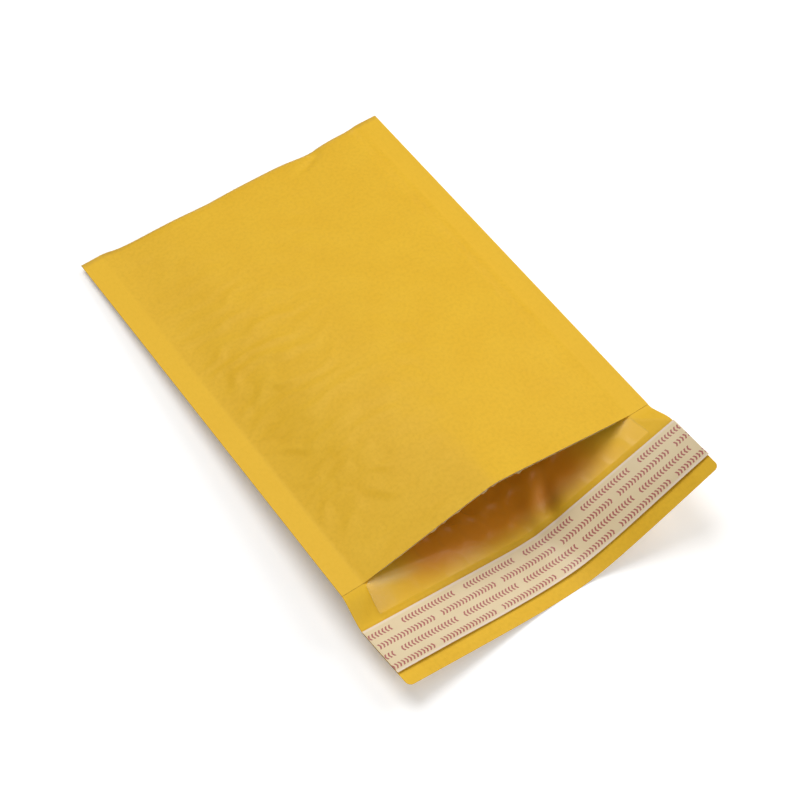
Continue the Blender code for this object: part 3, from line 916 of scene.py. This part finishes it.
@dataclass(frozen=True)
class HotMelt(Finish):
    """Pressure-sensitive hot-melt adhesive, slot coated.

    The eye sees an off-white, slightly streaky band with a soft tacky shine.
    """

    name: str = "hot_melt_adhesive"
    body: str = "#e6dcbc"
    streak: str = "#d6c79c"
    roughness: float = 0.32

    def shade(self, tree: bpy.types.NodeTree) -> bpy.types.NodeSocket:
        """Coating streaks along the band by a stretched noise, in colour and in height."""
        streaks = noise(tree, flat_place(tree, (14.0, 0.7)), 1.0, 3.0)
        body = blend_colour(tree, streaks, linear(self.body), linear(self.streak))
        bump = add_node(tree, "ShaderNodeBump", {"Height": streaks, "Strength": 0.5, "Distance": 0.00005})
        shader = {"Base Color": body, "Roughness": self.roughness, "Normal": bump.outputs[0]}
        return add_node(tree, "ShaderNodeBsdfPrincipled", shader).outputs[0]


class Heading(Enum):
    """Which way a row of printed arrowheads points."""

    LEFT = -1.0
    RIGHT = 1.0


@dataclass(frozen=True)
class MarkRow:
    """A row of printed arrowheads on the liner, in millimetres.

    Attributes:
        across: Middle of the row, from the liner's edge on the mouth side.
        heading: Which way its arrowheads point.
        shift: Where a group of them starts.
    """

    across: float
    heading: Heading
    shift: float


@dataclass(frozen=True)
class ReleasePaper(Finish):
    """Silicone-coated release paper with rows of small red marks.

    The eye sees a cream, slightly see-through strip, satin and faintly rippled, and on it small
    red arrowheads in groups.
    """

    name: str = "cream_release_paper"
    body: str = "#e0cda6"
    cloud: str = "#d8c39a"
    ink: str = "#9e213c"
    roughness: float = 0.42
    start: float = 211.1
    rows: tuple[MarkRow, ...] = (
        MarkRow(3.6, Heading.LEFT, 4.0),
        MarkRow(8.4, Heading.RIGHT, 17.0),
        MarkRow(13.2, Heading.LEFT, 11.0),
        MarkRow(18.0, Heading.RIGHT, 24.0),
    )
    height: float = 2.3
    border: str = "#e6d5c2"
    border_width: float = 0.8
    width: float = 20.6
    pitch: float = 1.5
    stroke: float = 0.48
    slope: float = 0.5
    period: float = 28.5
    group: float = 0.86

    def inked(self, tree: bpy.types.NodeTree, across: Any, along: Any, row: MarkRow) -> Any:
        """1 where a row's ink is: strokes slanted to both sides of its line, in groups.

        Along the row, the distance plus the slope times the distance from the line is taken
        round the pitch, and the ink is its first part.
        """
        side = math_node(tree, "ABSOLUTE", math_node(tree, "SUBTRACT", along, self.start + row.across))
        lean = math_node(tree, "MULTIPLY_ADD", side, self.slope * row.heading.value, across)
        step = math_node(tree, "FRACT", math_node(tree, "DIVIDE", lean, self.pitch))
        stroke = math_node(tree, "LESS_THAN", step, self.stroke)
        whole = math_node(tree, "FLOOR", math_node(tree, "DIVIDE", lean, self.pitch))
        place = math_node(tree, "MULTIPLY_ADD", whole, self.pitch, row.shift)
        turn = math_node(tree, "FRACT", math_node(tree, "DIVIDE", place, self.period))
        grouped = math_node(tree, "LESS_THAN", turn, self.group)
        near = math_node(tree, "LESS_THAN", side, self.height / 2)
        return math_node(tree, "MULTIPLY", math_node(tree, "MULTIPLY", stroke, grouped), near)

    def shade(self, tree: bpy.types.NodeTree) -> bpy.types.NodeSocket:
        """Cream paper with faint clouds, and the four rows of ink over it."""
        place = flat_place(tree)
        parts = add_node(tree, "ShaderNodeSeparateXYZ", {0: place})
        across, along = parts.outputs["X"], parts.outputs["Y"]
        clouds = noise(tree, place, 9.0, 3.0)
        grain = noise(tree, place, 0.5, 3.0)
        body = blend_colour(tree, clouds, linear(self.body), linear(self.cloud))
        middle = math_node(tree, "SUBTRACT", along, self.start + self.width / 2)
        inset = math_node(tree, "SUBTRACT", self.width / 2, math_node(tree, "ABSOLUTE", middle))
        limits = {0: inset, 1: self.border_width - 0.4, 2: self.border_width + 0.4, 3: 0.8, 4: 0.0}
        edge = add_node(tree, "ShaderNodeMapRange", limits).outputs[0]
        body = blend_colour(tree, edge, body, linear(self.border))
        ink = self.inked(tree, across, along, self.rows[0])
        for row in self.rows[1:]:
            ink = math_node(tree, "ADD", ink, self.inked(tree, across, along, row))
        worn = add_node(tree, "ShaderNodeMapRange", {0: grain, 1: 0.25, 2: 0.6, 3: 0.55, 4: 0.92})
        body = blend_colour(tree, math_node(tree, "MULTIPLY", ink, worn.outputs[0]), body, linear(self.ink))
        bump = add_node(tree, "ShaderNodeBump", {"Height": clouds, "Strength": 0.3, "Distance": 0.0003})
        shader = {"Base Color": body, "Roughness": self.roughness, "Normal": bump.outputs[0]}
        return add_node(tree, "ShaderNodeBsdfPrincipled", shader).outputs[0]


# ---------------------------------------------------------------------------------------------
# Pieces
# ---------------------------------------------------------------------------------------------


def dress(
    piece: bpy.types.Object, finishes: tuple[Finish, ...], node_name: str
) -> bpy.types.Object:
    """Finishes a piece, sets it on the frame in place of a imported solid, and reports it.

    Args:
        piece: The new piece.
        finishes: For its outer, inner and edge faces, or one for them all.
        node_name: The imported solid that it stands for.

    Returns:
        The same piece.
    """
    for finish in finishes:
        piece.data.materials.append(finish.make())
    if len(finishes) == 1:
        piece.data.polygons.foreach_set("material_index", np.zeros(len(piece.data.polygons), np.int32))
    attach(piece, ROOT)
    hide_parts(node_name)
    names = ", ".join(finish.name for finish in finishes)
    log.info("%s: %d faces, finished as %s", piece.name, len(piece.data.polygons), names)
    return piece


@dataclass
class KraftOuter:
    """The one paper sheet: front panel, fold, back panel, pressed side bands and flap."""

    drape: Drape
    finishes: tuple[Finish, ...] = (
        GoldenKraft(),
        GoldenKraft("golden_kraft_inner_side", film_covers=True),
        CutPaper(),
    )
    band_steps: int = 10
    width_steps: int = 112
    nose_steps: int = 10
    body_steps: int = 150
    hollow_steps: int = 150
    flap_steps: int = 34
    corner_steps: int = 8

    def nose_rows(self, first: float) -> Array:
        """Rows round the folded end, closer where it curves more: 1 less the cosine of the turn."""
        turns = np.linspace(0.0, np.pi / 2, self.nose_steps + 1)
        return first + (self.drape.nose_length - first + self.drape.cut.paper) * (1.0 - np.cos(turns))

    def grids(self) -> PouchGrids:
        """Rows and columns of the sheet, about a millimetre apart where it shows."""
        cut = self.drape.cut
        columns = spaced(
            (-cut.half_width, 0),
            (-cut.weld_line, self.band_steps),
            (cut.weld_line, self.width_steps),
            (cut.half_width, self.band_steps),
        )
        start = self.nose_rows(cut.paper)
        outer = np.concatenate([[0.0], start, spaced((start[-1], 0), (cut.panel_length, self.body_steps))[1:]])
        inner = np.concatenate([start, spaced((start[-1], 0), (cut.panel_length, self.hollow_steps))[1:]])
        corner = np.sin(np.linspace(0.0, np.pi / 2, self.corner_steps + 1))
        flap = spaced((cut.panel_length, 0), (cut.length - cut.corner_radius, self.flap_steps))
        tongue = np.concatenate([flap, (cut.length - cut.corner_radius * (1.0 - corner))[1:]])
        return PouchGrids(columns, self.band_steps, outer, inner, tongue)

    def trimmed(self, columns: Array, rows: Array) -> Array:
        """The columns on every row, drawn in at the flap's end to round its corners."""
        cut = self.drape.cut
        into = np.clip((rows - cut.length + cut.corner_radius) / cut.corner_radius, 0.0, 1.0)
        inset = cut.corner_radius * (1.0 - np.sqrt(1.0 - into**2))
        outer = np.abs(columns) > cut.weld_line
        band = (np.abs(columns) - cut.weld_line) / cut.seam_width
        return rows_of(columns, len(rows)) - np.sign(columns) * np.where(outer, band, 0.0) * inset[:, None]

    def build(self) -> bpy.types.Object:
        """Makes and dresses the sheet."""
        drape, grids = self.drape, self.grids()
        all_rows = np.concatenate([grids.outer, grids.tongue[1:]])
        inside = rows_of(grids.hollow_columns, len(grids.inner))
        shell = pouch(
            grids,
            low=drape.back(self.trimmed(grids.columns, all_rows), all_rows, drape.belly_height),
            top=drape.front(rows_of(grids.columns, len(grids.outer)), grids.outer, drape.crown_height),
            floor=drape.back(inside, grids.inner, drape.floor_height),
            ceiling=drape.front(inside, grids.inner, drape.ceiling_height),
            lip=drape.back(self.trimmed(grids.columns, grids.tongue), grids.tongue, drape.floor_height),
        )
        piece = dress(shell.to_piece("kraft_sheet"), self.finishes, "kraft_outer")
        return piece


@dataclass
class BubbleLining:
    """The bubble film: a smooth skin towards the contents, closed over domes towards the paper."""

    drape: Drape
    finish: Finish = BubbleFilm()
    lip_thickness: float = 0.6 * MM
    lip_taper: float = 22.0 * MM
    tongue_length: float = 10.5 * MM
    side_weld: float = 3.0 * MM
    fold_weld: float = 1.2 * MM
    weld_clearance: float = 2.6 * MM
    fold_clearance: float = 0.7 * MM
    mouth_setback: float = 0.4 * MM
    # Painted highlights on the film: each bell curve's depth is the share of extra haze that stands for a pale sheen.
    painted_sheens: tuple[Crease, ...] = (
        Crease(-54.0 * MM, 200.3 * MM, 9.5 * MM, 1.5 * MM, 5.0, 0.15),
        Crease(-62.0 * MM, 204.0 * MM, 7.0 * MM, 4.5 * MM, 0.0, 0.09),
        Crease(33.0 * MM, 205.0 * MM, 14.0 * MM, 3.6 * MM, 8.0, 0.05),
        Crease(9.0 * MM, 205.0 * MM, 3.0 * MM, 5.0 * MM, 0.0, 0.015),
    )
    cut_bubbles: tuple[tuple[float, float, float], ...] = (
        (-32.0 * MM, 1.5 * MM, 1.1 * MM),
        (-27.0 * MM, 1.0 * MM, 0.7 * MM),
        (-20.5 * MM, 1.2 * MM, 0.9 * MM),
        (-8.0 * MM, 1.4 * MM, 1.3 * MM),
        (-3.5 * MM, 0.9 * MM, 0.8 * MM),
        (9.0 * MM, 1.3 * MM, 1.2 * MM),
    )
    cut_length: float = 2.5 * MM
    tongue_spread: float = 2.2 * MM
    spread_length: float = 1.5 * MM
    web_thickness: float = 0.25 * MM
    weld_steps: int = 3
    width_steps: int = 172
    nose_steps: int = 8
    body_steps: int = 180
    hollow_steps: int = 60
    tongue_steps: int = 12

    @property
    def edge(self) -> float:
        """Distance from the middle line to the film's side edge."""
        return self.drape.cut.weld_line - self.weld_clearance

    def grids(self) -> PouchGrids:
        """Rows and columns of the film."""
        cut, drape = self.drape.cut, self.drape
        hollow = self.edge - self.side_weld
        columns = spaced(
            (-self.edge, 0), (-hollow, self.weld_steps), (hollow, self.width_steps), (self.edge, self.weld_steps)
        )
        start = cut.paper + self.fold_clearance
        first = start + self.fold_weld
        turns = np.linspace(0.0, np.pi / 2, self.nose_steps + 1)
        nose = first + (drape.nose_length - first + cut.paper) * (1.0 - np.cos(turns))
        mouth = cut.panel_length - self.mouth_setback
        outer = np.concatenate([[start], nose, spaced((nose[-1], 0), (mouth, self.body_steps))[1:]])
        inner = np.concatenate([nose, spaced((nose[-1], 0), (mouth, self.hollow_steps))[1:]])
        tongue = spaced((mouth, 0), (cut.panel_length + self.tongue_length, self.tongue_steps))
        return PouchGrids(columns, self.weld_steps, outer, inner, tongue)

    def spread(self, columns: Array, rows: Array) -> Array:
        """The columns on every row, drawn out to the weld line past the mouth."""
        past = ease((rows - self.drape.cut.panel_length) / self.spread_length)
        return rows_of(columns, len(rows)) * (1.0 + self.tongue_spread / self.edge * past[:, None])

    def depth(self, u: Array, v: Array, room: Array | None = None) -> Array:
        """Full depth of the film and its bubbles, thinner at the lip, the sides and the fold."""
        end = self.drape.cut.panel_length + self.tongue_length
        layer = mix(self.lip_thickness, self.drape.cut.lining, ease((end - v) / self.lip_taper))
        side = ease((self.edge - np.abs(u)) / self.drape.pad_ramp_width)
        full = mix(self.lip_thickness, layer, side)
        return full if room is None else np.minimum(full, room)

    def cut_drop(self, u: Array, v: Array) -> Array:
        """How far the bubbles that the front's cut runs through hang down: half rounds."""
        near = ease((v - self.drape.cut.panel_length + self.mouth_setback + self.cut_length) / self.cut_length)
        drop = np.zeros_like(u)
        for place, half_width, depth in self.cut_bubbles:
            drop = drop + depth * np.sqrt(np.maximum(1.0 - ((u - place) / half_width) ** 2, 0.0))
        return drop * near

    def build(self) -> bpy.types.Object:
        """Makes and dresses the lining."""
        drape, grids, cut = self.drape, self.grids(), self.drape.cut

        def room(u: Array, v: Array) -> Array:
            between = drape.ceiling_height(u, v) - drape.floor_height(u, v) - 2 * cut.layer_gap
            return np.maximum((between - cut.pocket_gap) / 2, 0.05 * MM)

        def held(u: Array, v: Array) -> Array:
            pocket = room(u, v)
            return self.depth(u, v, np.where(v < grids.outer[-1] + 1e-9, pocket, np.inf))

        def shrunk(u: Array, v: Array) -> Array:
            """How far the outer face stands back from the paper between the bubbles."""
            dome = bubble_dome(u, v, drape.bubble_pitch, drape.bubble_radius)
            full = held(u, v)
            web = np.minimum(self.web_thickness, full)
            return (full - web) * (1.0 - dome) * ease((self.edge - np.abs(u)) / self.side_weld)

        def low(u: Array, v: Array) -> Array:
            return drape.floor_height(u, v) + cut.layer_gap + shrunk(u, v)

        def floor(u: Array, v: Array) -> Array:
            return drape.floor_height(u, v) + cut.layer_gap + held(u, v)

        def top(u: Array, v: Array) -> Array:
            return drape.ceiling_height(u, v) - cut.layer_gap - shrunk(u, v)

        def ceiling(u: Array, v: Array) -> Array:
            return drape.ceiling_height(u, v) - cut.layer_gap - held(u, v) - self.cut_drop(u, v)

        all_rows = np.concatenate([grids.outer, grids.tongue[1:]])
        inside = rows_of(grids.hollow_columns, len(grids.inner))
        shell = pouch(
            grids,
            low=drape.back(self.spread(grids.columns, all_rows), all_rows, low),
            top=drape.front(rows_of(grids.columns, len(grids.outer)), grids.outer, top),
            floor=drape.back(inside, grids.inner, floor),
            ceiling=drape.front(inside, grids.inner, ceiling),
            lip=drape.back(self.spread(grids.columns, grids.tongue), grids.tongue, floor),
        )
        piece = dress(shell.to_piece("bubble_film_lining"), (self.finish,), "bubble_lining")
        places = np.concatenate(shell.places) * MM
        # The painted highlights, worked out at every point of the film.
        haze_and_sheen = sum(patch.sink(places[:, 0], places[:, 1]) for patch in self.painted_sheens)
        piece.data.attributes.new(SHEEN_PATCHES, "FLOAT", "POINT").data.foreach_set("value", haze_and_sheen.astype(np.float32))
        return piece


@dataclass
class FlapStrip:
    """A strip that crosses the flap: the adhesive band, or the liner over it.

    Attributes:
        drape: How the flap that carries it lies.
        start: Where it begins, past the mouth.
        width: Its size from the mouth side to the flap's end side.
        thickness: Its own thickness.
        seat: Height of its underside above the flap's paper.
        end_inset: How far it stops short of the flap's side edges.
        curl: How far its outer edge lifts.
        curl_width: Over what width that edge lifts.
    """

    drape: Drape
    start: float
    width: float
    thickness: float
    seat: float
    end_inset: float = 0.0
    curl: float = 0.0
    curl_width: float = 4.0 * MM
    width_steps: int = 180
    depth_steps: int = 24

    def height(self, u: Array, v: Array) -> Array:
        """The underside: the flap's paper, the seat, and the curl of the outer edge."""
        last = self.drape.cut.panel_length + self.start + self.width
        lift = self.curl * ease((v - last + self.curl_width) / self.curl_width)
        uneven = 0.65 + 0.35 * ripple(u, np.zeros_like(u), 38.0 * MM, 21)
        return self.drape.floor_height(u, v) + self.seat + lift * uneven

    def shell(self) -> Shell:
        """The strip's closed skin."""
        edge = self.drape.cut.half_width - self.end_inset
        first = self.drape.cut.panel_length + self.start
        rows = np.linspace(first, first + self.width, self.depth_steps + 1)
        u = rows_of(np.linspace(-edge, edge, self.width_steps + 1), len(rows))
        low = self.drape.back(u, rows, self.height)
        top = low + np.array([0.0, 0.0, self.thickness])
        return strip(low, top, u[0], rows)


# ---------------------------------------------------------------------------------------------
# Studio
# ---------------------------------------------------------------------------------------------


@dataclass(frozen=True)
class Lamp:
    """A soft studio lamp, by the direction and distance that it stands at."""

    name: str
    turn: float
    height: float
    distance: float
    size: float
    power: float

    def hang(self) -> None:
        """Adds the lamp, aimed at the envelope."""
        turn, height = np.radians([self.turn, self.height])
        way = Vector((np.sin(turn) * np.cos(height), np.cos(turn) * np.cos(height), np.sin(height)))
        data = bpy.data.lights.new(self.name, "AREA")
        data.shape, data.size, data.energy = "DISK", self.size, self.power
        lamp = bpy.data.objects.new(self.name, data)
        lamp.location = way * self.distance
        lamp.rotation_euler = way.to_track_quat("Z", "Y").to_euler()
        bpy.context.scene.collection.objects.link(lamp)


@dataclass(frozen=True)
class Studio:
    """White table, even sky, soft lamps and the camera."""

    lamps: tuple[Lamp, ...] = (
        Lamp("overhead_softbox", 0.0, 66.0, 1.5, 0.9, 12.2),
        Lamp("side_softbox", 86.0, 42.0, 1.5, 1.0, 7.6),
        Lamp("front_fill", 178.0, 38.0, 1.5, 1.1, 6.6),
    )
    sky: float = 0.20
    table: str = "#f7f7f7"
    table_size: float = 6.0
    washed_out: float = 0.20
    camera_turn: float = -35.05
    camera_height: float = 58.06
    camera_roll: float = 0.734
    camera_distance: float = 669.5 * MM
    target: tuple[float, float, float] = (-0.07 * MM, -10.99 * MM, 0.0)
    sensor: float = 36.0
    focal_pixels: float = 1652.7
    picture_pixels: float = 800.0

    def lay_table(self) -> None:
        """A flat white table just under the envelope, whiter still to the camera."""
        half = self.table_size / 2
        mesh = bpy.data.meshes.new("table_top")
        corners = [(-half, -half, 0.0), (half, -half, 0.0), (half, half, 0.0), (-half, half, 0.0)]
        mesh.from_pydata(corners, [], [(0, 1, 2, 3)])
        table = bpy.data.objects.new("table_top", mesh)
        table.location.z = -0.02 * MM
        material = bpy.data.materials.new("white_table")
        material.use_nodes = True
        tree = material.node_tree
        tree.nodes.clear()
        plain = add_node(tree, "ShaderNodeBsdfDiffuse", {0: linear(self.table)}).outputs[0]
        white = add_node(tree, "ShaderNodeEmission", {0: (1.0, 1.0, 1.0, 1.0), 1: self.washed_out}).outputs[0]
        lit = add_node(tree, "ShaderNodeAddShader", {0: plain, 1: white}).outputs[0]
        seen = add_node(tree, "ShaderNodeLightPath").outputs["Is Camera Ray"]
        shown = add_node(tree, "ShaderNodeMixShader", {0: seen, 1: plain, 2: lit}).outputs[0]
        add_node(tree, "ShaderNodeOutputMaterial", {"Surface": shown})
        mesh.materials.append(material)
        bpy.context.scene.collection.objects.link(table)

    def light(self) -> None:
        """Hangs the lamps and sets an even sky that the camera sees as white."""
        for lamp in self.lamps:
            lamp.hang()
        world = bpy.data.worlds.new("studio_sky")
        world.use_nodes = True
        tree = world.node_tree
        tree.nodes.clear()
        seen = add_node(tree, "ShaderNodeLightPath").outputs["Is Camera Ray"]
        strength = add_node(tree, "ShaderNodeMapRange", {0: seen, 3: self.sky, 4: 1.0}).outputs[0]
        sky = add_node(tree, "ShaderNodeBackground", {0: (1.0, 1.0, 1.0, 1.0), 1: strength})
        add_node(tree, "ShaderNodeOutputWorld", {"Surface": sky.outputs[0]})
        bpy.context.scene.world = world

    def set_camera(self) -> None:
        """Places the camera on its line of sight, rolled about it."""
        turn, height, roll = np.radians([self.camera_turn, self.camera_height, self.camera_roll])
        back = Vector((np.sin(turn) * np.cos(height), -np.cos(turn) * np.cos(height), np.sin(height)))
        right = (-back).cross(Vector((0.0, 0.0, 1.0))).normalized()
        up = right.cross(-back)
        rolled = right * np.cos(roll) + up * np.sin(roll)
        data = bpy.data.cameras.new("camera")
        data.sensor_width = self.sensor
        data.lens = self.focal_pixels / self.picture_pixels * self.sensor
        data.clip_start, data.clip_end = 0.01, 20.0
        camera = bpy.data.objects.new("camera", data)
        axes = Matrix((rolled, back.cross(rolled), back)).transposed().to_4x4()
        camera.matrix_world = Matrix.Translation(Vector(self.target) + back * self.camera_distance) @ axes
        bpy.context.scene.collection.objects.link(camera)
        bpy.context.scene.camera = camera

    def build(self) -> None:
        """Sets up the table, the light, the camera and the plain view transform."""
        self.lay_table()
        self.light()
        self.set_camera()
        bpy.context.scene.view_settings.view_transform = "Standard"


def main() -> None:
    """Builds the envelope's pieces in order, then the studio, and reports each."""
    logging.basicConfig(level=logging.INFO, format="%(name)s: %(message)s")
    drape = Drape()
    KraftOuter(drape).build()
    BubbleLining(drape).build()
    glue = FlapStrip(drape, 16.6 * MM, 12.7 * MM, 0.15 * MM, 0.3 * MM, end_inset=1.0 * MM)
    dress(glue.shell().to_piece("adhesive_band"), (HotMelt(),), "adhesive_strip")
    liner = FlapStrip(drape, 13.1 * MM, 20.6 * MM, 0.12 * MM, 0.75 * MM, curl=0.6 * MM)
    paper = (ReleasePaper(),)
    cover = dress(liner.shell().to_piece("peel_off_liner"), paper, "release_liner")
    Studio().build()


if __name__ == "__main__":
    main()
